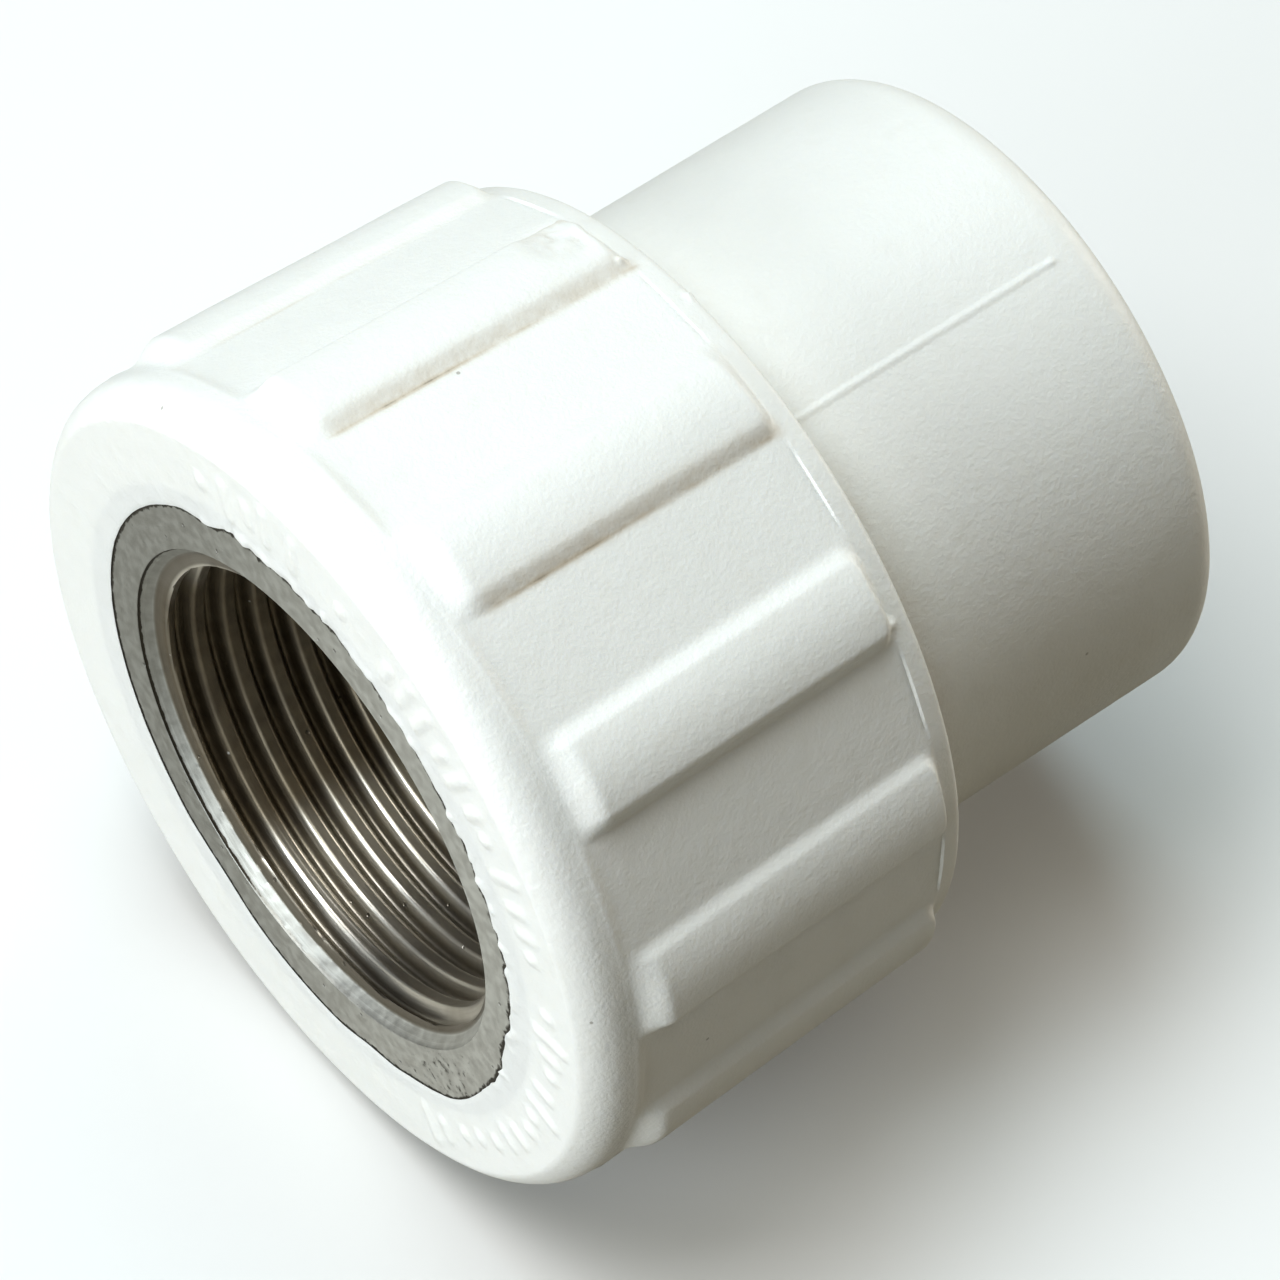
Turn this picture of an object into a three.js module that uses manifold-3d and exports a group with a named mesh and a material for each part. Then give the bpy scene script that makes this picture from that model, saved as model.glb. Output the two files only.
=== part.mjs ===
// A white polypropylene pipe adapter: one end is a smooth socket that is heat-welded onto a 25 mm
// plastic pipe, and the other holds a nickel-plated brass insert with a 3/4 inch female pipe thread.
// Millimetres. The fitting lies on two of its grip ribs, with its axis along +X and the threaded face
// at -X. The origin is under its middle, at the height of the surface that it lies on.

import * as THREE from "three";
import { mergeVertices } from "three/addons/utils/BufferGeometryUtils.js";
import Module from "manifold-3d";

// Driving dimensions. "Along" values are distances from the threaded face.
const facets = 36; // flats round a full turn
const overallLength = 43.15;
const shoulderAlong = 22.93; // where the thick collar steps down to the socket
const fitGap = 0.3; // all round the insert, between metal and plastic

// Collar: a cone that narrows away from the threaded face, with a rounded front rim.
const collarFrontRadius = 22.12;
const collarBackRadius = 21.3;
const collarFrontAlong = 2.5;
const rimFaceRadius = 20.93; // outer edge of the flat front face
const rimEdgeRadius = 22.0;
const rimEdgeAlong = 2.24;
const shoulderEdgeRound = 0.35;

// Grip ribs, spread evenly round the collar.
const ribCount = 12;
const ribWidth = 4.7;
const ribHeight = 0.68; // above the collar's cone
const ribToeAlong = 2.8; // the ramp rises from here
const ribRampEnd = 4.2;
const ribBackAlong = 21.4;
const ribBackRound = 0.6;
const ribRoot = 1.2; // how deep a rib is sunk into the collar

// Pipe socket, for a 25 mm pipe welded in to its stop.
const socketRadius = 17.05;
const socketEndRadius = 15.37; // outer edge of the flat end face
const socketEndRound = 1.78;
const pipeMouthRadius = 12.25;
const pipeRootRadius = 12.0;
const pipeDepth = 18;
const pipeLeadIn = 0.5;
const waterwayRadius = 9.0;

// Insert: its outline steps in and out so that the moulded plastic locks it in both directions.
const insertLength = 19;
const insertSteps = [
  { radius: 16.07, end: 2.4 }, // face flange, flush with the plastic
  { radius: 14.9, end: 4.0 },
  { radius: 17.4, end: 8.2, knurled: true },
  { radius: 15.2, end: 9.8 },
  { radius: 16.8, end: 14.0, knurled: true },
  { radius: 15.0, end: insertLength },
];
const knurlTeeth = 36;
const knurlDepth = 0.6;
const throatRadius = 9.5; // the insert's plain hole behind its thread

// Female 3/4 inch pipe thread: 14 turns to the inch, with a 55 degree form.
const threadPitch = 25.4 / 14;
const threadMajorRadius = 26.441 / 2;
const threadMinorRadius = 24.117 / 2;
const threadFlankAngle = THREE.MathUtils.degToRad(55 / 2);
const mouthRadius = 13.51;
const mouthDepth = 0.45;
const leadInEnd = 1.75;
const reliefStart = 15.0;
const reliefEnd = 16.8;
const reliefRadius = 13.4;

const overshoot = 1; // how far a cutter reaches past the face that it opens
const quarterTurn = Math.PI / 2;

const wasm = await Module();
wasm.setup();

// A closed three.js geometry as a solid that can be joined and cut.
function toSolid(geometry) {
  const bare = geometry.clone();
  bare.deleteAttribute("normal");
  bare.deleteAttribute("uv");
  const welded = mergeVertices(bare);
  const vertProperties = Float32Array.from(welded.attributes.position.array);
  const triVerts = Uint32Array.from(welded.index.array);
  return new wasm.Manifold(new wasm.Mesh({ numProp: 3, vertProperties, triVerts }));
}

function toGeometry(solid) {
  const mesh = solid.getMesh();
  const geometry = new THREE.BufferGeometry();
  geometry.setAttribute("position", new THREE.Float32BufferAttribute(mesh.vertProperties, 3));
  geometry.setIndex(new THREE.BufferAttribute(mesh.triVerts, 1));
  geometry.computeVertexNormals();
  return geometry;
}

// A solid of revolution about Y. Points are [radius, along], going from the axis back to the axis.
function turned(points) {
  const profile = points.map(([radius, along]) => new THREE.Vector2(radius, along));
  return toSolid(new THREE.LatheGeometry(profile, facets));
}

// Points on a quarter ellipse from a flat face round to a side, with steps + 1 points.
function roundedEdge(faceRadius, sideRadius, faceAlong, sideAlong, steps) {
  const points = [];
  for (let i = 0; i <= steps; i += 1) {
    const turn = (quarterTurn * i) / steps;
    const radius = faceRadius + (sideRadius - faceRadius) * Math.sin(turn);
    const along = faceAlong + (sideAlong - faceAlong) * (1 - Math.cos(turn));
    points.push([radius, along]);
  }
  return points;
}

// The collar's cone, as a radius at a distance from the threaded face.
function collarRadius(along) {
  const share = (along - collarFrontAlong) / (shoulderAlong - collarFrontAlong);
  return THREE.MathUtils.lerp(collarFrontRadius, collarBackRadius, share);
}

function outerForm() {
  const backEdge = collarRadius(shoulderAlong) - shoulderEdgeRound;
  const roundStart = shoulderAlong - shoulderEdgeRound;
  const endRoundStart = overallLength - socketEndRound;
  return turned([
    [0, 0],
    ...roundedEdge(rimFaceRadius, rimEdgeRadius, 0, rimEdgeAlong, 4),
    [collarFrontRadius, collarFrontAlong],
    [collarRadius(roundStart), roundStart],
    [backEdge, shoulderAlong],
    [socketRadius, shoulderAlong],
    ...roundedEdge(socketEndRadius, socketRadius, overallLength, endRoundStart, 4).reverse(),
    [0, overallLength],
  ]);
}

// One grip rib, standing out along +X. Its side view is drawn in radius and along.
function ribForm() {
  const top = (along) => collarRadius(along) + ribHeight;
  const sideView = new THREE.Shape();
  sideView.moveTo(collarRadius(ribToeAlong) - ribRoot, ribToeAlong);
  sideView.lineTo(collarRadius(ribToeAlong), ribToeAlong);
  sideView.lineTo(top(ribRampEnd), ribRampEnd);
  sideView.lineTo(top(ribBackAlong - ribBackRound), ribBackAlong - ribBackRound);
  sideView.lineTo(top(ribBackAlong) - ribBackRound * 0.3, ribBackAlong - ribBackRound * 0.3);
  sideView.lineTo(collarRadius(ribBackAlong), ribBackAlong);
  sideView.lineTo(collarRadius(ribBackAlong) - ribRoot, ribBackAlong);
  const geometry = new THREE.ExtrudeGeometry(sideView, { depth: ribWidth, bevelEnabled: false });
  return geometry.translate(0, 0, -ribWidth / 2);
}

// The ribs stand half a spacing either side of straight up, so the fitting lies on two of them.
function addRibs(body) {
  const spacing = (2 * Math.PI) / ribCount;
  let ribbed = body;
  for (let i = 0; i < ribCount; i += 1) {
    const rib = ribForm().rotateY(spacing * (i + 0.5));
    ribbed = ribbed.add(toSolid(rib));
  }
  return ribbed;
}

// The insert's stepped outline as profile points, grown by a gap on every side.
function insertOutline(gap) {
  const points = [];
  let start = 0;
  insertSteps.forEach((step, i) => {
    const before = insertSteps[i - 1];
    const after = insertSteps[i + 1];
    const startShift = before && before.radius > step.radius ? gap : -gap;
    const endShift = after && after.radius > step.radius ? -gap : gap;
    points.push([step.radius + gap, start + (before ? startShift : 0)]);
    points.push([step.radius + gap, step.end + endShift]);
    start = step.end;
  });
  return points;
}

// The hollow that the plastic leaves round the insert, open at the threaded face.
function insertHollow() {
  const outline = insertOutline(fitGap);
  const [openRadius] = outline[0];
  const end = insertLength + fitGap;
  return turned([[0, -overshoot], [openRadius, -overshoot], ...outline.slice(1), [0, end]]);
}

// The pipe socket and the narrower waterway that joins it to the insert.
function pipeHollow() {
  const stop = overallLength - pipeDepth;
  const leadInStart = overallLength - pipeLeadIn;
  const leadInRadius = pipeMouthRadius + pipeLeadIn;
  return turned([
    [0, insertLength - overshoot],
    [waterwayRadius, insertLength - overshoot],
    [waterwayRadius, stop],
    [pipeRootRadius, stop],
    [pipeMouthRadius, leadInStart],
    [leadInRadius, overallLength],
    [leadInRadius, overallLength + overshoot],
    [0, overallLength + overshoot],
  ]);
}

function bodyGeometry() {
  const body = addRibs(outerForm()).subtract(insertHollow()).subtract(pipeHollow());
  return toGeometry(body);
}

// A toothed band that grips the plastic against turning.
function knurlBand(step, start) {
  const outline = new THREE.Shape();
  for (let i = 0; i < knurlTeeth * 2; i += 1) {
    const radius = i % 2 === 0 ? step.radius : step.radius - knurlDepth;
    const angle = (Math.PI * i) / knurlTeeth;
    const point = [radius * Math.cos(angle), radius * Math.sin(angle)];
    if (i === 0) {
      outline.moveTo(...point);
    } else {
      outline.lineTo(...point);
    }
  }
  const band = new THREE.ExtrudeGeometry(outline, { depth: step.end - start, bevelEnabled: false });
  return band.rotateX(-quarterTurn).translate(0, start, 0);
}

// The insert before its hole is cut: plain steps turned to size, and knurled bands added on.
function insertBlank() {
  let start = 0;
  let blank = null;
  insertSteps.forEach((step) => {
    const plain = turned([[0, start], [step.radius, start], [step.radius, step.end], [0, step.end]]);
    const piece = step.knurled ? toSolid(knurlBand(step, start)) : plain;
    blank = blank ? blank.add(piece) : piece;
    start = step.end;
  });
  return blank;
}

function insertHole() {
  return turned([
    [0, -overshoot],
    [mouthRadius, -overshoot],
    [mouthRadius, mouthDepth],
    [threadMinorRadius, leadInEnd],
    [threadMinorRadius, reliefStart],
    [reliefRadius, reliefStart],
    [reliefRadius, reliefEnd],
    [throatRadius, reliefEnd],
    [throatRadius, insertLength + overshoot],
    [0, insertLength + overshoot],
  ]);
}

// A right-hand helical ridge with the thread groove's section. It starts outside the mouth and ends in
// the relief groove.
function threadCutter() {
  const innerRadius = threadMinorRadius - 0.2;
  const halfWidth = (radius) => {
    const middle = (threadMajorRadius + threadMinorRadius) / 2;
    return threadPitch / 4 + (middle - radius) * Math.tan(threadFlankAngle);
  };
  const section = [
    [threadMajorRadius, -halfWidth(threadMajorRadius)],
    [threadMajorRadius, halfWidth(threadMajorRadius)],
    [innerRadius, halfWidth(innerRadius)],
    [innerRadius, -halfWidth(innerRadius)],
  ];
  const from = -halfWidth(innerRadius);
  const to = (reliefStart + reliefEnd) / 2;
  const steps = Math.round(((to - from) / threadPitch) * facets);
  const positions = [];
  const indices = [];
  for (let i = 0; i <= steps; i += 1) {
    const turn = (2 * Math.PI * i) / facets;
    const climb = from + (threadPitch * i) / facets;
    section.forEach(([radius, offset]) => {
      positions.push(radius * Math.sin(turn), climb + offset, radius * Math.cos(turn));
    });
  }
  const corners = section.length;
  for (let i = 0; i < steps; i += 1) {
    for (let k = 0; k < corners; k += 1) {
      const here = i * corners + k;
      const beside = i * corners + ((k + 1) % corners);
      indices.push(here, here + corners, beside, beside, here + corners, beside + corners);
    }
  }
  const last = steps * corners;
  indices.push(0, 1, 2, 0, 2, 3);
  indices.push(last, last + 2, last + 1, last, last + 3, last + 2);
  const geometry = new THREE.BufferGeometry();
  geometry.setAttribute("position", new THREE.Float32BufferAttribute(positions, 3));
  geometry.setIndex(indices);
  return toSolid(geometry);
}

function insertGeometry() {
  const insert = insertBlank().subtract(insertHole()).subtract(threadCutter());
  return toGeometry(insert);
}

// The height of the axis over the surface: the two lowest ribs touch it with their inner corners.
function axisHeight() {
  const lean = Math.PI / ribCount;
  const ribTop = collarRadius(ribRampEnd) + ribHeight;
  return ribTop * Math.cos(lean) + (ribWidth / 2) * Math.sin(lean);
}

const whitePolypropylene = new THREE.MeshStandardMaterial({
  color: 0xeff1ea,
  roughness: 0.45,
  metalness: 0,
});
const nickelPlate = new THREE.MeshStandardMaterial({
  color: 0x9c9a90,
  roughness: 0.35,
  metalness: 1,
});

const moulded = new THREE.Mesh(bodyGeometry(), whitePolypropylene);
moulded.name = "moulded_body";
const insert = new THREE.Mesh(insertGeometry(), nickelPlate);
insert.name = "threaded_insert";

// Turned geometry has its axis along Y, so the group is laid down along X.
const fitting = new THREE.Group();
fitting.add(moulded, insert);
fitting.rotation.z = -quarterTurn;
fitting.position.set(-overallLength / 2, 0, axisHeight());

const model = new THREE.Group();
model.add(fitting);

export default model;
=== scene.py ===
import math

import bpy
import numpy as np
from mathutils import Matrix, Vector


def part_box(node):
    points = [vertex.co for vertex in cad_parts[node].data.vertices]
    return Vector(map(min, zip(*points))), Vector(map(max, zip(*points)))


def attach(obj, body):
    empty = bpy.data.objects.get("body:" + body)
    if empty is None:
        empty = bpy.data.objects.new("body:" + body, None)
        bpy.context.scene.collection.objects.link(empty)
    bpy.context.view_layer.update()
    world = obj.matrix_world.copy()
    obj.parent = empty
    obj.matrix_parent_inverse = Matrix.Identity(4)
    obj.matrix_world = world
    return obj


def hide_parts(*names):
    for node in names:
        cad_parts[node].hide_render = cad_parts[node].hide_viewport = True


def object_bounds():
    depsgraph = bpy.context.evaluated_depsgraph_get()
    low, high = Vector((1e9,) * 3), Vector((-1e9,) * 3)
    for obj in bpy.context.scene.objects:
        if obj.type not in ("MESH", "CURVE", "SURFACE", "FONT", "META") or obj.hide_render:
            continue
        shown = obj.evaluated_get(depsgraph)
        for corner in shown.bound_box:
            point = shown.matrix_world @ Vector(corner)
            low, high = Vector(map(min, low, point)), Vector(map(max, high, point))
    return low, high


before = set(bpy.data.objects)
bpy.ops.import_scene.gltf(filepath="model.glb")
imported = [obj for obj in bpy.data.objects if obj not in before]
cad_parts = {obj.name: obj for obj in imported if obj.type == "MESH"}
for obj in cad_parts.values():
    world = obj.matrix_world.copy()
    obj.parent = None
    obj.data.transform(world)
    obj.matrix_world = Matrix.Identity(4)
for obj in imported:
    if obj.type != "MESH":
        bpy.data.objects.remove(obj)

# The looks of a white polypropylene pipe adapter with a nickel-plated, female threaded insert. It lies on
# two of its grip ribs on a pale floor. Each of the two CAD solids is replaced by a fine skin of its size.
#
# Sizes are in millimetres and angles in degrees, unless a name says otherwise. A place on the fitting is
# given by its distance "along" the axis from the threaded face, its radius, and its "turn" round the
# axis, which starts at the top and goes towards the viewer's side.

MM = 0.001
CAD_LOW, CAD_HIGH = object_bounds()
FACE_X = CAD_LOW.x
AXIS_Z = (CAD_LOW.z + CAD_HIGH.z) / 2
LENGTH = (CAD_HIGH.x - CAD_LOW.x) / MM
INSERT_LENGTH = (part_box("threaded_insert")[1].x - CAD_LOW.x) / MM

# Collar
RIM_RADIUS = 22.08
RIM_DEPTH = 2.0
RIM_START_SLOPE = 27  # degrees by which the rounded rim falls back straight from the face's edge
CREASE_ALONG = 2.42  # the fine line where the rim ends
CREASE_DEPTH = 0.012
CREASE_WIDTH = 0.13
COLLAR_FRONT_ALONG = 2.6
COLLAR_FRONT_RADIUS = 22.12
COLLAR_TAPER = 0.0401  # radius lost for each millimetre along
BAND_ALONG = 21.65  # the plain band behind the ribs starts here
BAND_STEP = 0.05
BAND_STEP_WIDTH = 0.24
BAND_SLOPE = 0.08
VALLEY_HOLLOW = 0.17  # how much lower than a true circle the collar is midway between two ribs
SHOULDER_ALONG = 22.93
SHOULDER_ROUND = 0.4
SHOULDER_FILLET = 0.5
RIM_END_SLOPE = 90 - math.degrees(math.atan(COLLAR_TAPER))
RIM_ROUND = RIM_DEPTH / (math.cos(math.radians(RIM_START_SLOPE)) - math.cos(math.radians(RIM_END_SLOPE)))
RIM_RISE = math.sin(math.radians(RIM_END_SLOPE)) - math.sin(math.radians(RIM_START_SLOPE))
RIM_FACE_RADIUS = RIM_RADIUS - RIM_ROUND * RIM_RISE

# Grip ribs
RIB_SPACING = 30
RIB_WIDTH = 4.8
RIB_HEIGHT = 0.9
RIB_CROWN_REACH = 3.7  # how far from its ridge a rib's curved top would meet the collar
RIB_LEAN = 0.9  # how far off its middle the ridge of a rib lies at most, so that the mould can open
RIB_WALL = (1.65, 1.05)  # how far a rib's sloping, rounded upper and lower walls reach across
RIB_DRAFT = 0.8  # how much shorter the upper wall gets where the mould opens straight away from a rib
RIB_FOOT = (1.4, 0.7)  # upper and lower wall: above 1, its foot is softer than its top
RIB_WALL_MIDDLE = (0.52, 0.40)  # where each wall's middle lies, as a share of its reach
RIB_BACK_STEEPNESS = 1.6
RIB_SHALLOW = 0.38  # share of its height that a rib on a parting line would lack, and less beside one
RIB_SHALLOW_REACH = 20
RIB_TOE_ALONG = 2.65
RIB_RAMP_END = 4.45
RIB_BACK_ALONG = 21.5
RIB_CORNER = 1.1
CRUSHED_SPOT = (-18, 20.1)  # turn and along where the back end of one rib was crushed in the mould
NUBS = (
    # turn, along, height of small nubs of plastic
    (-9.5, 21.5, 0.3),
    (50, 21.75, 0.2),
    (0.1, 22.75, 0.25),
)

# Socket
SOCKET_RADIUS = 17.05
SOCKET_END_RADIUS = 15.37
SOCKET_END_ROUND = 1.78
PIPE_MOUTH_RADIUS = 12.25
PIPE_ROOT_RADIUS = 12.0
PIPE_DEPTH = 18.0
PIPE_LEAD_IN = 0.5
WATERWAY_RADIUS = 9.0
PARTING_TURNS = (19.6, 199.6)
PARTING_START = 23.1
PARTING_END = 40.7
PARTING_WIDTH = 0.32
PARTING_HEIGHT = 0.06

# Raised marks on the threaded face
MARKS_RADIUS = 18.75
MARKS_TURNS = (-24.0, 152.0)
MARKS_HEIGHT = 0.18

# Insert and its G 3/4 thread
INSERT_RECESS = 0.1  # the metal face lies this far behind the plastic one
LIP_THICKNESS = 0.06
LIP_ROUND = 0.04
LIP_RADIUS = 16.1
LIP_OVAL = 0.3
FOUL_AND_SHADE_TURN = 245  # the thread holds most dirt on this side, and its colour is darkened here as a painted dark reflection
LIP_BAYS = (
    # turn, reach in degrees, how far the moulding draws back (or, below 0, creeps over the metal)
    (-28, 9, -0.35),
    (100, 14, -0.28),
    (136, 17, 0.38),
    (163, 9, -0.22),
    (207, 14, -0.3),
)
FLANGE_RADIUS = 16.95
SEAT_GAP = 0.3  # between the metal and the plastic round it
MOUTH_RADIUS = 13.78
MOUTH_WALL = (13.74, 0.2)  # radius and along where the mouth's short wall turns into its cone
MOUTH_CONE_END = (13.24, 0.74)
FIRST_CREST_START = (12.0, 1.02)
THREAD_PITCH = 25.4 / 14
THREAD_MAJOR_RADIUS = 26.441 / 2
THREAD_MINOR_RADIUS = 24.117 / 2
THREAD_HALF_ANGLE = 27.5
THREAD_PHASE = -0.2  # how far the thread is turned, in turns
CREST_RADIUS = 12.36  # the crests are cut off flat here
CREST_KNEE = 0.09  # radial reach of the rounding on a crest's edges
RELIEF_START = 15.0
RELIEF_END = 16.8
RELIEF_RADIUS = 13.4
THROAT_RADIUS = 9.5
INSERT_STEPS = (
    # radius, start, end, toothed
    (FLANGE_RADIUS, INSERT_RECESS, 2.4, False),
    (14.9, 2.4, 4.0, False),
    (17.4, 4.0, 8.2, True),
    (15.2, 8.2, 9.8, False),
    (16.8, 9.8, 14.0, True),
    (15.0, 14.0, INSERT_LENGTH, False),
)


# ---------------------------------------------------------------------------------------------------
# Small mathematical helpers, which take numbers or numpy arrays
# ---------------------------------------------------------------------------------------------------

def smooth(share):
    """0 below 0, 1 above 1, with a soft start and end between."""
    t = np.clip(share, 0, 1)
    return t * t * (3 - 2 * t)


def hump(distance, reach):
    """1 at distance 0, falling softly to 0 at reach."""
    return smooth(1 - np.abs(distance) / reach)


def turn_from(turn, centre):
    """Signed angle from centre to turn, from -180 to 180 degrees."""
    return (turn - centre + 180) % 360 - 180


def lattice_noise(points, cell, seed):
    """Smooth random values from -1 to 1 at points (..., 3) in metres, one random value for each cell."""
    size = 48
    table = np.random.default_rng(seed).uniform(-1, 1, (size, size, size))
    p = points / (cell * MM) + 0.37 * seed
    base = np.floor(p).astype(int)
    f = smooth(p - base)
    total = np.zeros(points.shape[:-1])
    for corner in range(8):
        bits = np.array([corner & 1, corner >> 1 & 1, corner >> 2 & 1])
        weight = np.prod(np.where(bits == 1, f, 1 - f), axis=-1)
        i, j, k = np.moveaxis((base + bits) % size, -1, 0)
        total += weight * table[i, j, k]
    return total


def places(turn, radius, along):
    """Points in the row frame, in metres."""
    angle = np.radians(turn)
    x = FACE_X + along * MM
    y = -radius * np.sin(angle) * MM
    z = AXIS_Z + radius * np.cos(angle) * MM
    return np.stack(np.broadcast_arrays(x, y, z), axis=-1)


def quarter(start, end, steps, radial_first=True):
    """Points (radius, along) on a quarter ellipse, without the end point. It leaves start along the
    radius, or else along the axis."""
    t = np.radians(np.linspace(0, 90, steps + 1)[:-1])
    quick, slow = np.sin(t), 1 - np.cos(t)
    radial, axial = (quick, slow) if radial_first else (slow, quick)
    radius = start[0] + (end[0] - start[0]) * radial
    along = start[1] + (end[1] - start[1]) * axial
    return np.stack([radius, along], axis=1)


def rim_arc(steps):
    """Points (radius, along) on the rounded rim, an arc from the face's edge to the collar, without its
    end point."""
    slope = np.radians(np.linspace(RIM_START_SLOPE, RIM_END_SLOPE, steps + 1)[:-1])
    first = math.radians(RIM_START_SLOPE)
    radius = RIM_FACE_RADIUS + RIM_ROUND * (np.sin(slope) - math.sin(first))
    along = RIM_ROUND * (math.cos(first) - np.cos(slope))
    return np.stack([radius, along], axis=1)


def straight(start, end, steps):
    """Points (radius, along) on a line, without the end point."""
    t = np.linspace(0, 1, steps + 1)[:-1, None]
    return np.array(start) * (1 - t) + np.array(end) * t


# ---------------------------------------------------------------------------------------------------
# Skins: closed meshes made of rings round the axis
# ---------------------------------------------------------------------------------------------------

class Skin:
    """Rings of vertices, joined one after the other by faces that look outwards. The outline goes from
    the threaded face outwards, back along the outside, and forwards again through the hollow."""

    def __init__(self):
        self.points = []
        self.faces = []
        self.count = 0

    def vertices(self, points):
        ids = np.arange(self.count, self.count + len(points))
        self.points.append(points)
        self.count += len(points)
        return ids

    def ring(self, turns, radius, along):
        """A ring is its turns and its vertex numbers."""
        return turns, self.vertices(places(turns, radius, along))

    def bridge(self, first, second):
        if len(first[0]) == len(second[0]):
            a, b = first[1], second[1]
            quads = np.stack([a, np.roll(a, -1), np.roll(b, -1), b], axis=1)
            self.faces.extend(quads.tolist())
        else:
            self.stitch(first, second)

    def stitch(self, first, second):
        """Triangles between two rings whose vertices are at different turns."""
        (turns_a, a), (turns_b, b) = first, second
        next_a = np.append(turns_a[1:], turns_a[0] + 360)
        next_b = np.append(turns_b[1:], turns_b[0] + 360)
        i = j = 0
        while i < len(a) or j < len(b):
            here_a, here_b = int(a[i % len(a)]), int(b[j % len(b)])
            if j == len(b) or (i < len(a) and next_a[i] <= next_b[j]):
                i += 1
                self.faces.append([here_a, int(a[i % len(a)]), here_b])
            else:
                j += 1
                self.faces.append([here_a, int(b[j % len(b)]), here_b])

    def bridge_all(self, rings):
        for first, second in zip(rings, rings[1:]):
            self.bridge(first, second)

    def piece(self, name, material, sharp_angle):
        mesh = bpy.data.meshes.new(name)
        mesh.from_pydata(np.concatenate(self.points).tolist(), [], self.faces)
        mesh.materials.append(material)
        mesh.shade_smooth()
        mesh.set_sharp_from_angle(angle=math.radians(sharp_angle))
        piece = bpy.data.objects.new(name, mesh)
        bpy.context.scene.collection.objects.link(piece)
        return piece


def even_turns(step):
    return np.arange(0, 360, step, dtype=float)


def turns_with_windows(step, centres, reach, fine_step):
    """Evenly spaced turns, with finer ones round some centres."""
    coarse = even_turns(step)
    clear = np.ones(len(coarse), bool)
    for centre in centres:
        clear &= np.abs(turn_from(coarse, centre)) > reach + fine_step / 2
    fine = np.arange(-reach, reach + fine_step / 2, fine_step)
    windows = [centre + fine for centre in centres]
    return np.sort(np.concatenate([coarse[clear], *windows]) % 360)


def paint(piece, name, values):
    """Stores one number for each vertex, for a material to read."""
    layer = piece.data.attributes.new(name, "FLOAT", "POINT")
    layer.data.foreach_set("value", np.asarray(values, np.float32).ravel())


# ---------------------------------------------------------------------------------------------------
# The lip: the moulding's thin, ragged edge over the metal face
# ---------------------------------------------------------------------------------------------------

def raggedness(turn):
    """How rough the lip is: 1 on the upper viewer's side, little on the far side."""
    return 0.12 + 0.88 * smooth((85 - np.abs(turn_from(turn, 45))) / 30)


def lip_radius(turn):
    spot = places(turn, LIP_RADIUS, 0.0)
    oval = LIP_OVAL * np.cos(2 * np.radians(turn - 170))
    torn = 0.16 * lattice_noise(spot, 1.1, 3) + 0.13 * lattice_noise(spot, 0.45, 4)
    bays = sum(size * hump(turn_from(turn, centre), reach) for centre, reach, size in LIP_BAYS)
    return LIP_RADIUS + oval + bays + torn * raggedness(turn)


# ---------------------------------------------------------------------------------------------------
# The moulded body
# ---------------------------------------------------------------------------------------------------

def collar_radius(along):
    return COLLAR_FRONT_RADIUS - COLLAR_TAPER * (along - COLLAR_FRONT_ALONG)


def rib_height(turn, along):
    across = np.radians(turn % RIB_SPACING - RIB_SPACING / 2) * collar_radius(along)
    past_side = np.abs(across) - (RIB_WIDTH / 2 - RIB_CORNER)
    past_back = (along - RIB_BACK_ALONG) * RIB_BACK_STEEPNESS + RIB_CORNER
    corner = np.hypot(np.maximum(past_side, 0), np.maximum(past_back, 0))
    outside = corner + np.minimum(np.maximum(past_side, past_back), 0) - RIB_CORNER
    side = smooth(0.5 + across / 2)
    middle = turn - turn % RIB_SPACING + RIB_SPACING / 2
    from_parting = np.radians(middle - PARTING_TURNS[0])
    walls = (RIB_WALL[0] - RIB_DRAFT * np.abs(np.sin(from_parting)), RIB_WALL[1])
    foot, wall_middle, reach = (
        pair[0] + (pair[1] - pair[0]) * side for pair in (RIB_FOOT, RIB_WALL_MIDDLE, walls)
    )
    wall = smooth(wall_middle - outside / reach) ** foot
    ramp = smooth((along - RIB_TOE_ALONG) / (RIB_RAMP_END - RIB_TOE_ALONG))
    ridge = RIB_LEAN * np.sin(2 * from_parting)
    crown = 1 - ((across - ridge) / RIB_CROWN_REACH) ** 2
    shallow = sum(hump(turn_from(middle, parting), RIB_SHALLOW_REACH) for parting in PARTING_TURNS)
    return RIB_HEIGHT * (1 - RIB_SHALLOW * shallow) * crown * wall * ramp


def valley_height(turn):
    """The collar between the ribs, a little flatter than a circle."""
    half_valley = (RIB_SPACING - math.degrees(RIB_WIDTH / RIM_RADIUS)) / 2
    from_middle = turn_from(turn * 360 / RIB_SPACING, 0) * RIB_SPACING / 360
    return -VALLEY_HOLLOW * np.maximum(1 - (from_middle / half_valley) ** 2, 0)


def crushed_spot(turn, along):
    """1 in the middle of the crushed spot, 0 round it."""
    spot_turn, spot_along = CRUSHED_SPOT
    return smooth(1.9 * hump(turn_from(turn, spot_turn), 7) * hump(along - spot_along, 2.4))


def collar_wear(turn, along, spot):
    """The crushed back end of one rib, and small nubs of plastic."""
    lumps = 0.13 * lattice_noise(spot, 0.8, 11) + 0.08 * lattice_noise(spot, 0.4, 12)
    height = crushed_spot(turn, along) * (lumps - 0.2)
    for nub_turn, nub_along, nub_height in NUBS:
        away = np.hypot(np.radians(turn_from(turn, nub_turn)) * RIM_RADIUS, along - nub_along)
        height = height + nub_height * hump(away, 0.45)
    return height


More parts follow.
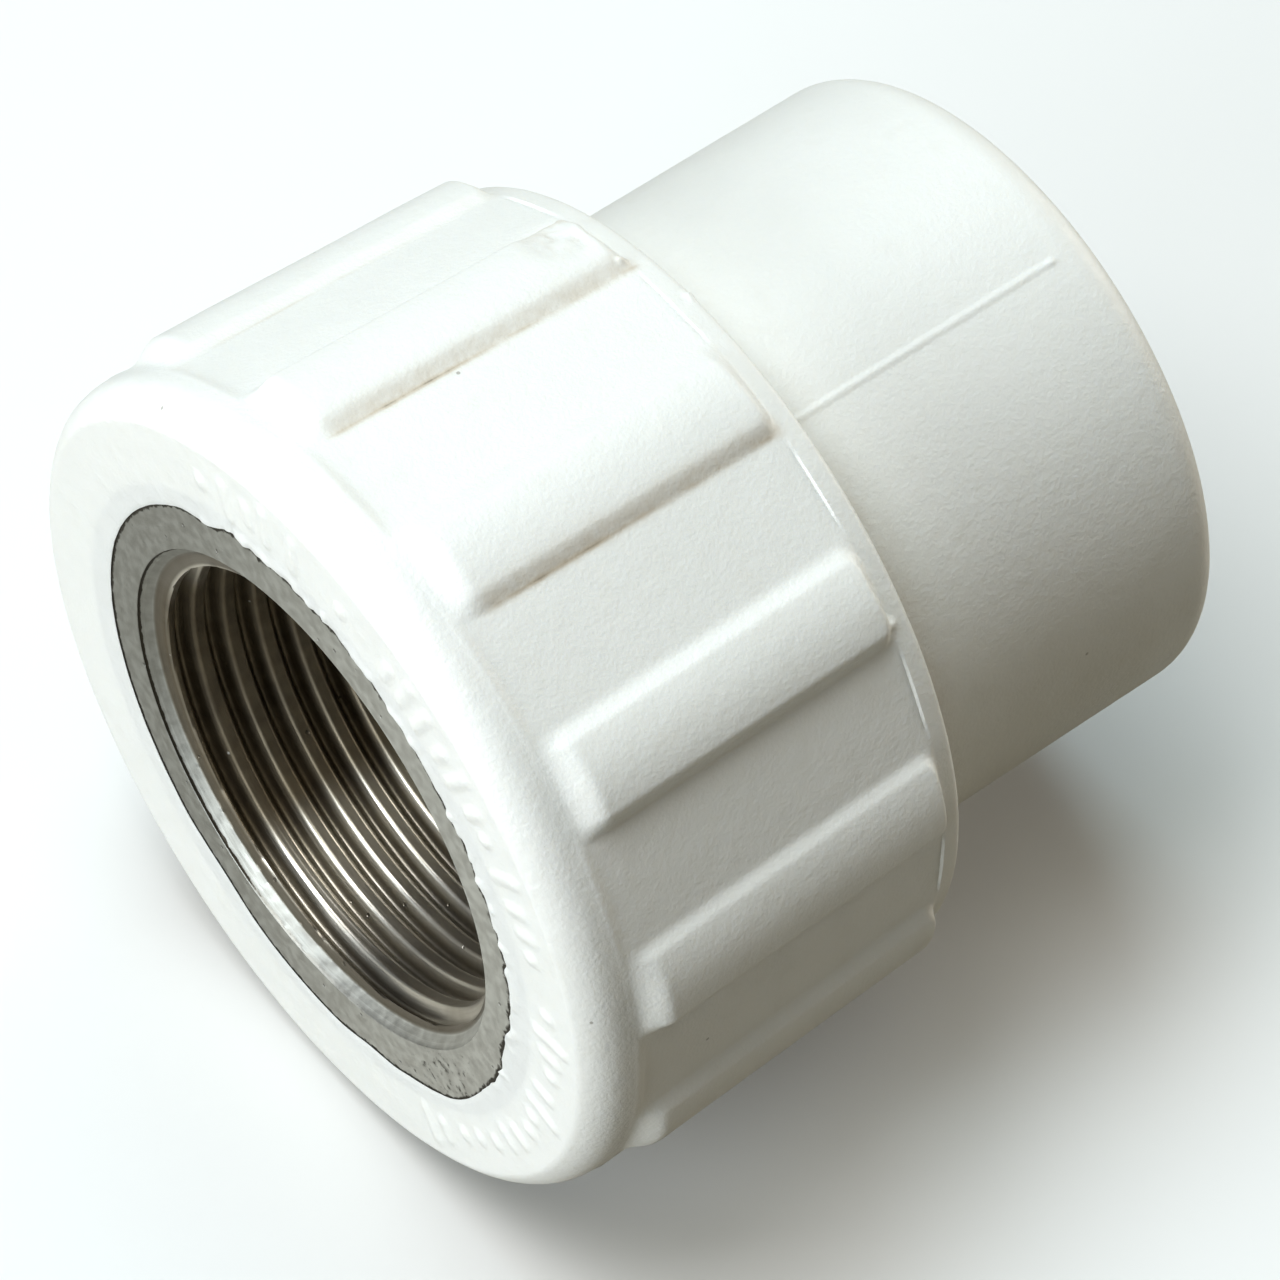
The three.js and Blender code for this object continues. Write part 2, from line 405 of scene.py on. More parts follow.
def outside_relief(turn, radius, along):
    """What the ribs and small features add to the collar's radius."""
    spot = places(turn, radius, along)
    crease = -CREASE_DEPTH * hump(along - CREASE_ALONG, CREASE_WIDTH)
    band = -BAND_STEP * smooth((along - BAND_ALONG) / BAND_STEP_WIDTH + 0.5)
    band = band - BAND_SLOPE * np.maximum(along - BAND_ALONG, 0)
    valley = valley_height(turn) * smooth((along - COLLAR_FRONT_ALONG) / 0.6) * (along < BAND_ALONG)
    wave = 0.025 * lattice_noise(spot, 5.0, 7) + 0.008 * lattice_noise(spot, 1.6, 8)
    return rib_height(turn, along) + valley + crease + band + wave + collar_wear(turn, along, spot)


def parting_ridge(turn, along):
    """The mould's parting line on the socket, a fine ridge on both sides."""
    height = 0
    for centre in PARTING_TURNS:
        across = np.radians(turn_from(turn, centre)) * SOCKET_RADIUS
        height = height + PARTING_HEIGHT * hump(across, PARTING_WIDTH)
    reach = smooth((along - PARTING_START) / 0.3) * smooth((PARTING_END - along) / 0.25)
    return height * reach * (1 + 0.8 * hump(along - PARTING_END + 0.3, 0.5))


def socket_relief(turn, radius, along):
    spot = places(turn, radius, along)
    return parting_ridge(turn, along) + 0.015 * lattice_noise(spot, 4.0, 9)


def face_marks(turn, radius):
    """1 on the threaded face's raised marks, a seeded row of plain bars and dots, and 0 beside them."""
    draw = np.random.default_rng(21)
    height = np.zeros(np.broadcast(turn, radius).shape)
    centre, last = MARKS_TURNS
    while centre < last:
        length = draw.choice([0.2, 0.9, 1.8])
        offset = draw.uniform(-0.2, 0.2)
        up = radius - MARKS_RADIUS - offset
        across = np.radians(turn_from(turn, centre)) * radius
        past = np.hypot(across, np.maximum(np.abs(up) - length / 2, 0))
        height = np.maximum(height, smooth((0.62 - past) / 0.6))
        centre += draw.choice([4.3, 5.2, 6.4, 11.0], p=[0.35, 0.3, 0.2, 0.15])
    return height


def face_relief(turn, radius):
    """How far the threaded face stands forward of its plane."""
    spot = places(turn, radius, 0.0)
    marks = MARKS_HEIGHT * face_marks(turn, radius) * (0.75 + 0.25 * lattice_noise(spot, 1.0, 13))
    near_lip = hump(radius - lip_radius(turn), 0.9) * (raggedness(turn) - 0.12)
    beads = 0.2 * near_lip * np.maximum(0, lattice_noise(spot, 0.55, 14) + 0.1)
    wave = 0.02 * lattice_noise(spot, 3.5, 15) + 0.012 * lattice_noise(spot, 0.8, 16)
    return marks + beads + wave


def face_rings(skin):
    """The threaded face, from the lip's underside to the rim."""
    turns = even_turns(0.36)
    edge = lip_radius(turns)
    rings = [skin.ring(turns, edge, LIP_THICKNESS)]
    for share in np.linspace(0, 1, 28)[:-1]:
        radius = edge + (RIM_FACE_RADIUS - edge) * share
        rise = face_relief(turns, radius) * smooth((1 - share) / 0.1)
        rounding = LIP_ROUND if share == 0 else 0.0
        rings.append(skin.ring(turns, radius, rounding - rise))
    return rings


def collar_rings(skin):
    """The rim, the ribbed collar and the shoulder's edge."""
    half_rib = math.degrees(RIB_WIDTH / 2 / RIM_RADIUS)
    centres = np.arange(RIB_SPACING / 2, 360, RIB_SPACING)
    walls = np.concatenate([centres - half_rib, centres + half_rib])
    turns = turns_with_windows(step=0.9, centres=walls, reach=1.75, fine_step=0.25)
    toe = RIB_RAMP_END + 0.4
    worn = 17.8  # the crushed spot and the nubs lie behind this
    back = RIB_BACK_ALONG - 0.9
    band = BAND_ALONG + 0.2
    edge = SHOULDER_ALONG - SHOULDER_ROUND
    edge_radius = collar_radius(edge)
    outline = np.concatenate([
        rim_arc(9),
        straight((RIM_RADIUS, RIM_DEPTH), (COLLAR_FRONT_RADIUS, COLLAR_FRONT_ALONG), 5),
        straight((COLLAR_FRONT_RADIUS, COLLAR_FRONT_ALONG), (collar_radius(toe), toe), 14),
        straight((collar_radius(toe), toe), (collar_radius(worn), worn), 10),
        straight((collar_radius(worn), worn), (collar_radius(back), back), 10),
        straight((collar_radius(back), back), (collar_radius(band), band), 12),
        straight((collar_radius(band), band), (edge_radius, edge), 4),
        quarter((edge_radius, edge), (edge_radius - SHOULDER_ROUND, SHOULDER_ALONG), 5, False),
    ])
    return [skin.ring(turns, radius + outside_relief(turns, radius, along), along)
            for radius, along in outline]


def socket_rings(skin):
    """The shoulder, the socket's outside, and its rounded end face."""
    turns = turns_with_windows(step=0.9, centres=PARTING_TURNS, reach=1.35, fine_step=0.15)
    band_fall = BAND_STEP + BAND_SLOPE * (SHOULDER_ALONG - BAND_ALONG)
    shoulder_outer = collar_radius(SHOULDER_ALONG) - band_fall - SHOULDER_ROUND
    fillet_outer = SOCKET_RADIUS + SHOULDER_FILLET
    fillet_end = SHOULDER_ALONG + SHOULDER_FILLET
    ridge_end = PARTING_END - 0.8
    round_start = LENGTH - SOCKET_END_ROUND
    outline = np.concatenate([
        straight((shoulder_outer, SHOULDER_ALONG), (fillet_outer, SHOULDER_ALONG), 4),
        quarter((fillet_outer, SHOULDER_ALONG), (SOCKET_RADIUS, fillet_end), 5),
        straight((SOCKET_RADIUS, fillet_end), (SOCKET_RADIUS, ridge_end), 9),
        straight((SOCKET_RADIUS, ridge_end), (SOCKET_RADIUS, round_start), 10),
        quarter((SOCKET_RADIUS, round_start), (SOCKET_END_RADIUS, LENGTH), 9, False),
    ])
    rings = [skin.ring(turns, radius + socket_relief(turns, radius, along), along)
             for radius, along in outline]
    end_face = straight((SOCKET_END_RADIUS, LENGTH), (PIPE_MOUTH_RADIUS + PIPE_LEAD_IN, LENGTH), 4)
    return rings + [skin.ring(turns, radius, along) for radius, along in end_face]


def hollow_rings(skin):
    """The pipe's bore with its stop, the waterway, and the seat of the insert."""
    turns = even_turns(2.0)
    stop = LENGTH - PIPE_DEPTH
    outline = [
        (PIPE_MOUTH_RADIUS + PIPE_LEAD_IN, LENGTH),
        *straight((PIPE_MOUTH_RADIUS, LENGTH - PIPE_LEAD_IN), (PIPE_ROOT_RADIUS, stop + 0.3), 6),
        *quarter((PIPE_ROOT_RADIUS, stop + 0.3), (PIPE_ROOT_RADIUS - 0.3, stop), 3, False),
        (PIPE_ROOT_RADIUS - 0.3, stop),
        (WATERWAY_RADIUS, stop),
        (WATERWAY_RADIUS, INSERT_LENGTH + SEAT_GAP),
        (INSERT_STEPS[-1][0] + SEAT_GAP, INSERT_LENGTH + SEAT_GAP),
    ]
    for step, before in zip(reversed(INSERT_STEPS[1:]), reversed(INSERT_STEPS[:-1])):
        clear = SEAT_GAP if before[0] < step[0] else -SEAT_GAP
        outline.append((step[0] + SEAT_GAP, step[1] - clear))
        outline.append((before[0] + SEAT_GAP, step[1] - clear))
    outline.append((FLANGE_RADIUS + SEAT_GAP, LIP_THICKNESS))
    return [skin.ring(turns, radius, along) for radius, along in outline]


def body_dust_and_shade(points):
    """Brown dust and painted shade: in the creases below the ribs (dust, with a painted shadow line and a
    beige painted shade on the ribs' lower walls), in the shoulder's corner (painted shade) and beside the
    parting line.
    """
    x, y, z = points.T
    along = (x - FACE_X) / MM
    radius = np.hypot(y, z - AXIS_Z) / MM
    turn = np.degrees(np.arctan2(-y, z - AXIS_Z)) % 360
    across = np.radians(turn % RIB_SPACING - RIB_SPACING / 2) * RIM_RADIUS
    past_wall = np.abs(across) - RIB_WIDTH / 2
    lengthways = smooth((along - 3.4) / 1.5) * smooth((22.4 - along) / 0.8)
    lower_side = 0.12 + 0.88 * smooth(across / 0.5)
    dustiest = 0.35 + 0.65 * smooth((42 - np.abs(turn_from(turn, 6))) / 20)
    broken = np.clip(0.6 + 0.9 * lattice_noise(points, 0.9, 32), 0, 1)
    foot = RIB_WALL[1] * 0.4
    # painted shade: a beige film on each rib's lower wall, where shade falls, and a broken dark line at
    # its foot, part dust and part painted shadow
    lower_wall_shade = 0.4 * smooth((past_wall + 1.4) / (foot + 1.1)) * smooth((foot + 0.5 - past_wall) / 0.7)
    line = 0.65 * hump(past_wall - foot + 0.12, 0.17) * broken * (0.25 + 0.75 * hump(along - 10, 8))
    crease = (lower_wall_shade + line) * lengthways * lower_side * dustiest * (radius > SOCKET_RADIUS + 3)
    # painted shade in the shoulder's corner on the socket, stronger towards the lower side
    corner_distance = np.hypot(radius - SOCKET_RADIUS, along - SHOULDER_ALONG)
    shaded_underside = 0.45 + 0.35 * smooth(turn_from(turn, 5) / 50) * smooth((170 - turn_from(turn, 0)) / 50)
    corner = shaded_underside * hump(corner_distance, 3.8) * (radius < 20.6) * (along > SHOULDER_ALONG - 0.05)
    scuffed = 0.25 * crushed_spot(turn, along) * hump(lattice_noise(points, 0.5, 33), 0.5)
    scuffed = scuffed * (radius > RIM_RADIUS - 1)
    patches = 0.8 + 0.2 * lattice_noise(points, 2.2, 31)
    return np.clip((crease + corner) * patches + scuffed, 0, 1)


def make_body(material):
    skin = Skin()
    face = face_rings(skin)
    rings = face + collar_rings(skin) + socket_rings(skin) + hollow_rings(skin)
    skin.bridge_all(rings + [face[0]])
    piece = skin.piece("moulded_body_skin", material, 42)
    paint(piece, "dust_and_shade", body_dust_and_shade(np.concatenate(skin.points)))
    return piece


# ---------------------------------------------------------------------------------------------------
# The threaded insert
# ---------------------------------------------------------------------------------------------------

def thread_radius(phase):
    """55 degree profile with round roots and flat crests. phase 0 is the middle of a crest, and 0.5 that
    of a root."""
    middle = (THREAD_MAJOR_RADIUS + THREAD_MINOR_RADIUS) / 2
    root_limit = (THREAD_MAJOR_RADIUS - THREAD_MINOR_RADIUS) / 2
    from_root = np.abs(phase % 1 - 0.5) * THREAD_PITCH
    sharp = (THREAD_PITCH / 4 - from_root) / math.tan(math.radians(THREAD_HALF_ANGLE))
    root_knee = THREAD_PITCH / 4 / math.tan(math.radians(THREAD_HALF_ANGLE)) - root_limit
    knee = np.where(sharp > 0, root_knee, CREST_KNEE)
    limit = np.where(sharp > 0, root_limit, middle - CREST_RADIUS)
    past_knee = np.maximum(np.abs(sharp) - (limit - knee), 0)
    rounded = np.abs(sharp) - past_knee ** 2 / (4 * knee)
    return middle + np.sign(sharp) * np.where(past_knee < 2 * knee, rounded, limit)


def bore_radius(phase, along):
    """The thread. Its first crest is cut away steeply behind the mouth's cone."""
    radii, places_along = zip(MOUTH_CONE_END, FIRST_CREST_START)
    return np.maximum(thread_radius(phase), np.interp(along, places_along, radii))


def thread_grid(skin, turns, start, end):
    """The right-hand thread between two distances along. Its rows follow the helix, and what lies past
    an end is drawn in to the ring there. Gives both end rings, the far one first."""
    rows_per_pitch = 22
    winding = turns / 360 + THREAD_PHASE
    near = skin.ring(turns, bore_radius(start / THREAD_PITCH - winding, start), start)
    far = skin.ring(turns, bore_radius(end / THREAD_PITCH - winding, end), end)

    def helix_row(row):
        phase = row / rows_per_pitch
        along = (phase + winding) * THREAD_PITCH
        inside = (along > start + 0.01) & (along < end - 0.01)
        ids = np.where(along < (start + end) / 2, near[1], far[1])
        radius = bore_radius(phase, along[inside])
        ids[inside] = skin.vertices(places(turns[inside], radius, along[inside]))
        return ids

    first_row = math.floor((start / THREAD_PITCH - THREAD_PHASE - 1) * rows_per_pitch)
    last_row = math.ceil((end / THREAD_PITCH - THREAD_PHASE) * rows_per_pitch)
    grid = [helix_row(row) for row in range(first_row, last_row + rows_per_pitch + 2)]
    for row in range(last_row - first_row):
        back, front = grid[row + 1], grid[row]
        back_ahead = np.append(back[1:], grid[row + 1 + rows_per_pitch][0])
        front_ahead = np.append(front[1:], grid[row + rows_per_pitch][0])
        for corners in np.stack([back, back_ahead, front_ahead, front], axis=1).tolist():
            corners = list(dict.fromkeys(corners))
            if len(corners) > 2:
                skin.faces.append(corners)
    return far, near


def metal_face_rings(skin, turns):
    """The mouth's cone and small step, and the flat metal face out to its flange."""
    lip = lip_radius(turns)
    cone = straight(MOUTH_CONE_END, MOUTH_WALL, 4)[1:]
    battered = hump(turn_from(turns, 195), 50)
    rings = []
    for radius, along in cone:
        knocks = 0.07 * battered * lattice_noise(places(turns, radius, along), 0.45, 42)
        rings.append(skin.ring(turns, radius + knocks, along))
    rings += [
        skin.ring(turns, *MOUTH_WALL),
        skin.ring(turns, MOUTH_RADIUS - 0.03, INSERT_RECESS + 0.04),
        skin.ring(turns, MOUTH_RADIUS - 0.015, INSERT_RECESS + 0.015),
    ]
    for share in np.linspace(0, 1, 15):
        radius = MOUTH_RADIUS + (lip - MOUTH_RADIUS) * share
        dents = 0.004 * lattice_noise(places(turns, radius, 0.0), 1.2, 41) * hump(share - 0.5, 0.5)
        rings.append(skin.ring(turns, radius, INSERT_RECESS + dents))
    rings.append(skin.ring(turns, FLANGE_RADIUS, INSERT_RECESS))
    return rings


def stepped_rings(skin, turns):
    """The insert's outside, which the moulding grips: plain steps and two toothed bands."""
    teeth = 0.45 * hump(turns % 10 - 5, 5)
    rings = []
    for radius, start, end, toothed in INSERT_STEPS:
        size = radius - (teeth if toothed else 0)
        if start > INSERT_RECESS:
            rings.append(skin.ring(turns, size, start))
        rings.append(skin.ring(turns, size, end))
    return rings


def back_rings(skin, turns):
    """The hidden end, the throat, and the relief groove behind the thread."""
    outline = [
        (THROAT_RADIUS, INSERT_LENGTH),
        *straight((THROAT_RADIUS, INSERT_LENGTH), (THROAT_RADIUS, RELIEF_END + 0.3), 4)[1:],
        *quarter((THROAT_RADIUS, RELIEF_END + 0.3), (THROAT_RADIUS + 0.3, RELIEF_END), 3, False),
        *straight((THROAT_RADIUS + 0.3, RELIEF_END), (RELIEF_RADIUS, RELIEF_END), 4),
        *straight((RELIEF_RADIUS, RELIEF_END), (RELIEF_RADIUS, RELIEF_START), 5),
        (RELIEF_RADIUS, RELIEF_START),
    ]
    return [skin.ring(turns, radius, along) for radius, along in outline]


def insert_dirt_and_shade(points):
    """Painted shade and dark matter: a painted shadow line, with dark matter, in the crevice beside the
    moulding's lip; painted shade in the corner of the mouth, most of it on the side away from the viewer;
    and dark flecks on the lower part of the face."""
    x, y, z = points.T
    along = (x - FACE_X) / MM
    radius = np.hypot(y, z - AXIS_Z) / MM
    turn = np.degrees(np.arctan2(-y, z - AXIS_Z)) % 360
    side = 0.76 + 0.1 * smooth((70 - np.abs(turn_from(turn, 285))) / 25)
    reach = 0.3 + 0.5 * raggedness(turn)
    # painted shadow line along the lip's crevice, partly dark matter
    lip_shadow_and_dirt = hump(lip_radius(turn) - radius, reach) * side * (along < INSERT_RECESS + 0.05)
    # painted shade in the mouth's corner, strongest on the side away from the viewer
    mouth_shade_side = 0.35 + 0.65 * smooth((75 - np.abs(turn_from(turn, 265))) / 25)
    mouth_corner_shade = mouth_shade_side * hump(radius - MOUTH_WALL[0], 0.07) * (along > INSERT_RECESS + 0.03) * (along < 1)
    on_face = (along < INSERT_RECESS + 0.03) * (radius > MOUTH_RADIUS)
    flecks = 0.4 * hump(turn_from(turn, 135), 45) * on_face
    return np.maximum(np.maximum(lip_shadow_and_dirt, mouth_corner_shade), flecks)


def make_insert(material):
    skin = Skin()
    turns = even_turns(1.0)
    far, near = thread_grid(skin, turns, MOUTH_CONE_END[1], RELIEF_START)
    face = metal_face_rings(skin, turns)
    skin.bridge_all([near] + face + stepped_rings(skin, turns) + back_rings(skin, turns) + [far])
    piece = skin.piece("threaded_insert_skin", material, 35)
    paint(piece, "dirt_and_shade", insert_dirt_and_shade(np.concatenate(skin.points)))
    return piece


# ---------------------------------------------------------------------------------------------------
# Materials
# ---------------------------------------------------------------------------------------------------

class Shader:
    """A node material and short ways to add to it. Coordinates are the object's own, in metres."""

    def __init__(self, name):
        self.material = bpy.data.materials.new(name)
        self.material.use_nodes = True
        self.nodes = self.material.node_tree.nodes
        self.links = self.material.node_tree.links
        self.surface = self.nodes["Principled BSDF"]
        self.position = self.nodes.new("ShaderNodeTexCoord").outputs["Object"]

    def feed(self, socket, value):
        if isinstance(value, bpy.types.NodeSocket):
            self.links.new(value, socket)
        else:
            socket.default_value = value

    def set(self, **values):
        for name, value in values.items():
            self.feed(self.surface.inputs[name.replace("_", " ")], value)

    def math(self, operation, *values):
        node = self.nodes.new("ShaderNodeMath")
        node.operation = operation
        for socket, value in zip(node.inputs, values):
            self.feed(socket, value)
        return node.outputs[0]

    def vector(self, operation, *values, output=0):
        node = self.nodes.new("ShaderNodeVectorMath")
        node.operation = operation
        for socket, value in zip(node.inputs, values):
            self.feed(socket, value)
        return node.outputs[output]

    def between(self, value, low, high, start=0.0, end=1.0):
        """start while value is below low, end above high, and a soft change between."""
        node = self.nodes.new("ShaderNodeMapRange")
        node.interpolation_type = "SMOOTHSTEP"
        for socket, number in zip(node.inputs, (value, low, high, start, end)):
            self.feed(socket, number)
        return node.outputs[0]

    def blend(self, share, first, second):
        node = self.nodes.new("ShaderNodeMix")
        node.data_type = "RGBA"
        self.feed(node.inputs[0], share)
        self.feed(node.inputs[6], first)
        self.feed(node.inputs[7], second)
        return node.outputs[2]

    def noise(self, size, detail=2.0, coordinates=None, rough=0.5):
        """Values from 0 to 1 with features of about size millimetres."""
        node = self.nodes.new("ShaderNodeTexNoise")
        self.feed(node.inputs["Vector"], coordinates or self.position)
        self.feed(node.inputs["Scale"], 1 / (size * MM))
        self.feed(node.inputs["Detail"], detail)
        self.feed(node.inputs["Roughness"], rough)
        return node.outputs["Fac"]

    def specks(self, spacing, size, share):
        """1 in small scattered dots, which only the given share of the cells has."""
        node = self.nodes.new("ShaderNodeTexVoronoi")
        self.feed(node.inputs["Vector"], self.position)
        self.feed(node.inputs["Scale"], 1 / (spacing * MM))
        chosen = self.nodes.new("ShaderNodeSeparateColor")
        self.feed(chosen.inputs[0], node.outputs["Color"])
        chosen = self.math("LESS_THAN", chosen.outputs[0], share)
        reach = size / spacing
        dot = self.between(node.outputs["Distance"], reach * 0.6, reach, 1.0, 0.0)
        return self.math("MULTIPLY", chosen, dot)

    def attribute(self, name):
        node = self.nodes.new("ShaderNodeAttribute")
        node.attribute_name = name
        return node.outputs["Fac"]

    def bump(self, height, depth, normal=None):
        """depth is the relief in millimetres that a height of 1 stands for."""
        node = self.nodes.new("ShaderNodeBump")
        node.inputs["Distance"].default_value = depth * MM
        self.feed(node.inputs["Height"], height)
        if normal:
            self.feed(node.inputs["Normal"], normal)
        return node.outputs["Normal"]


def colour(red, green, blue):
    return (red, green, blue, 1.0)


def white_polypropylene():
    shader = Shader("white_polypropylene")
    dust_and_shade = shader.attribute("dust_and_shade")
    fog = shader.noise(14, 3)
    patches = shader.noise(2.2, 4)
    grain = shader.noise(0.22, 3)
    peel = shader.noise(0.9, 2)
    # the plastic, a little yellower in patches
    clean = shader.blend(fog, colour(0.80, 0.815, 0.775), colour(0.86, 0.865, 0.835))
    clean = shader.blend(shader.between(patches, 0.55, 0.75, 0.0, 0.25), clean, colour(0.74, 0.735, 0.68))
    # a beige film where there is a little dust and painted shade, and dark brown where there is much; the
    # painted shade lies under the ribs and in the shoulder's corner
    patchy_dust_and_shade = shader.math("MULTIPLY", dust_and_shade, shader.between(shader.noise(0.7, 4), 0.25, 0.7, 0.7, 1.0))
    film_and_shade = shader.blend(shader.between(patchy_dust_and_shade, 0.0, 0.6), clean, colour(0.60, 0.53, 0.42))
    soil_and_shade = shader.blend(shader.between(patchy_dust_and_shade, 0.5, 1.0), film_and_shade, colour(0.10, 0.07, 0.04))
    specks = shader.specks(2.1, 0.12, 0.08)
    shader.set(
        Base_Color=shader.blend(shader.math("MULTIPLY", specks, 0.55), soil_and_shade, colour(0.16, 0.13, 0.09)),
        Roughness=shader.between(patches, 0.3, 0.75, 0.36, 0.52),
        IOR=1.49,
        Subsurface_Weight=0.2,
        Subsurface_Radius=(1.0, 0.9, 0.75),
        Subsurface_Scale=0.0006,
    )
    normal = shader.bump(grain, 0.028)
    shader.set(Normal=shader.bump(peel, 0.03, normal))
    return shader.material


def nickel_plated_brass():
    shader = Shader("nickel_plated_brass")
    # places on a lathe: the distance along the axis, and the radius
    split = shader.nodes.new("ShaderNodeSeparateXYZ")
    shader.feed(split.inputs[0], shader.vector("SUBTRACT", shader.position, (FACE_X, 0.0, AXIS_Z)))
    along, side, up = split.outputs
    outward = shader.nodes.new("ShaderNodeCombineXYZ")
    shader.feed(outward.inputs[0], side)
    shader.feed(outward.inputs[1], up)
    radius = shader.vector("LENGTH", outward.outputs[0], output=1)
    rings = shader.nodes.new("ShaderNodeCombineXYZ")
    shader.feed(rings.inputs[0], radius)
    shader.feed(rings.inputs[1], along)
    # lathe marks, blotches and pits
    lathe = shader.noise(0.3, 3, rings.outputs[0], 0.6)
    mottle = shader.noise(0.6, 5)
    stain = shader.noise(3.5, 4)
    pits = shader.specks(0.9, 0.14, 0.10)
    # where the thread is, where caked dirt and a painted dark reflection cover it, and a few pale crumbs
    # in that dirt
    threaded = shader.between(along, (MOUTH_CONE_END[1] - 0.04) * MM, (MOUTH_CONE_END[1] + 0.04) * MM)
    foul_and_shade_way = (-math.sin(math.radians(FOUL_AND_SHADE_TURN)), math.cos(math.radians(FOUL_AND_SHADE_TURN)), 0.0)
    unit = shader.vector("NORMALIZE", outward.outputs[0])
    foul_and_shade = shader.between(shader.vector("DOT_PRODUCT", unit, foul_and_shade_way, output=1), 0.68, 0.86)
    foul_and_shade = shader.math("MULTIPLY", foul_and_shade, shader.between(along, 0.7 * MM, 1.0 * MM, 0.0, 0.92))
    crumbs = shader.math("MULTIPLY", foul_and_shade, shader.specks(1.3, 0.15, 0.10))
    # the face, with painted shade: its colour is darker on the side away from the viewer
    far_side_shade = shader.between(side, -14 * MM, 16 * MM)
    fine = shader.between(mottle, 0.3, 0.7)
    lit_face = shader.blend(fine, colour(0.49, 0.49, 0.455), colour(0.58, 0.58, 0.535))
    shaded_face = shader.blend(fine, colour(0.275, 0.275, 0.25), colour(0.35, 0.35, 0.32))
    face_tone = shader.blend(far_side_shade, lit_face, shaded_face)
    # the thread, with painted shade in its roots, a painted dark reflection on its first turn, and the
    # caked dirt, which is also a painted dark reflection
    worn = shader.between(stain, 0.35, 0.7)
    thread_tone = shader.blend(worn, colour(0.74, 0.71, 0.64), colour(0.56, 0.525, 0.45))
    # painted shade: the thread's roots are darker
    root = shader.between(radius, 12.75 * MM, 13.2 * MM, 0.0, 0.6)
    thread_tone = shader.blend(root, thread_tone, colour(0.15, 0.13, 0.095))
    # painted dark reflection: the first turn behind the mouth's cone is darker
    first = shader.between(radius, 12.4 * MM, 12.6 * MM, 0.0, 0.85)
    first = shader.math("MULTIPLY", first, shader.between(along, 1.2 * MM, 1.5 * MM, 1.0, 0.0))
    thread_tone = shader.blend(first, thread_tone, colour(0.13, 0.11, 0.08))
    # caked dirt that also serves as a painted dark reflection on the far side of the thread
    caked_and_shaded = shader.blend(shader.noise(1.1, 3), colour(0.055, 0.04, 0.022), colour(0.20, 0.16, 0.10))
    thread_tone = shader.blend(foul_and_shade, thread_tone, caked_and_shaded)
    tone = shader.blend(threaded, face_tone, thread_tone)
    # dark matter and painted shade in the crevices, and dark matter in the pits
    flecks = shader.math("MULTIPLY", shader.noise(0.4, 3), 0.9)
    dark = shader.between(shader.math("ADD", shader.attribute("dirt_and_shade"), flecks), 0.85, 1.1)
    dark = shader.math("MAXIMUM", dark, shader.math("MULTIPLY", pits, 0.6))
    rough_thread = shader.between(stain, 0.3, 0.7, 0.28, 0.38)
    rough_thread = shader.math("ADD", rough_thread, shader.math("MULTIPLY", foul_and_shade, 0.16))
    roughness = shader.nodes.new("ShaderNodeMix")
    shader.feed(roughness.inputs[0], threaded)
    shader.feed(roughness.inputs[2], shader.between(mottle, 0.3, 0.7, 0.46, 0.58))
    shader.feed(roughness.inputs[3], rough_thread)
    soil_and_shade = shader.blend(dark, tone, colour(0.045, 0.04, 0.03))
    shader.set(
        Base_Color=shader.blend(crumbs, soil_and_shade, colour(0.8, 0.8, 0.76)),
        Metallic=shader.math("SUBTRACT", 1.0, crumbs),
        Roughness=roughness.outputs[0],
    )
    normal = shader.bump(lathe, 0.03)
    normal = shader.bump(mottle, 0.007, normal)
    shader.set(Normal=shader.bump(shader.math("SUBTRACT", 1.0, pits), 0.04, normal))
    return shader.material


def floor_material():
    """Pale to look at. It lights the fitting less, and more brownly, than it shows, so that the fitting's
    lower side keeps its shade."""
    shader = Shader("pale_floor")
    rays = shader.nodes.new("ShaderNodeLightPath")
    cloud = shader.noise(60, 2)
    shown = shader.blend(cloud, colour(0.80, 0.81, 0.80), colour(0.84, 0.85, 0.84))
    lighting, mirrored = colour(0.235, 0.20, 0.14), colour(0.42, 0.395, 0.35)
    unseen = shader.blend(rays.outputs["Is Glossy Ray"], lighting, mirrored)
    shader.set(
        Base_Color=shader.blend(rays.outputs["Is Camera Ray"], unseen, shown),
        Roughness=0.8,
        Specular_IOR_Level=0.2,
    )
    return shader.material


# ---------------------------------------------------------------------------------------------------
# Camera, light and floor
# ---------------------------------------------------------------------------------------------------

VIEW_AZIMUTH = -40.25
VIEW_ELEVATION = 53.45
VIEW_ROLL = 2.07
VIEW_DISTANCE = 333.3  # from the lens to the threaded face's centre, measured along the view
FACE_LEFT = 15.89  # the face's centre lies this far left of the view's centre
FACE_BELOW = 7.75
LENS = 196.9
LAMP_DISTANCE = 0.6  # metres, as are FLOOR_SIZE and the lamps' widths and heights
FLOOR_SIZE = 6.0
LAMPS = (
    # name, direction from the fitting, width, height, power in watts, tint
    ("key", (-0.32, 0.19, 0.93), 0.35, 0.35, 2.35, (0.96, 0.97, 1.0)),
    ("top", (0.14, 0.36, 0.92), 0.35, 0.35, 1.55, (0.75, 0.93, 1.0)),
    ("side", (-0.36, -0.10, 0.93), 0.35, 0.35, 0.32, (1.0, 0.87, 0.5)),
    ("front", (-0.97, 0.04, 0.19), 0.42, 0.34, 3.7, (0.88, 0.95, 1.0)),
    ("back", (0.97, 0.0, 0.26), 0.45, 0.34, 1.65, (1.0, 0.92, 0.8)),
)
WORLD_SHOWN = 0.85  # the world's brightness to look at, in mirrors, and as a light
WORLD_MIRRORED = 0.1
WORLD_LIGHT = 0.02


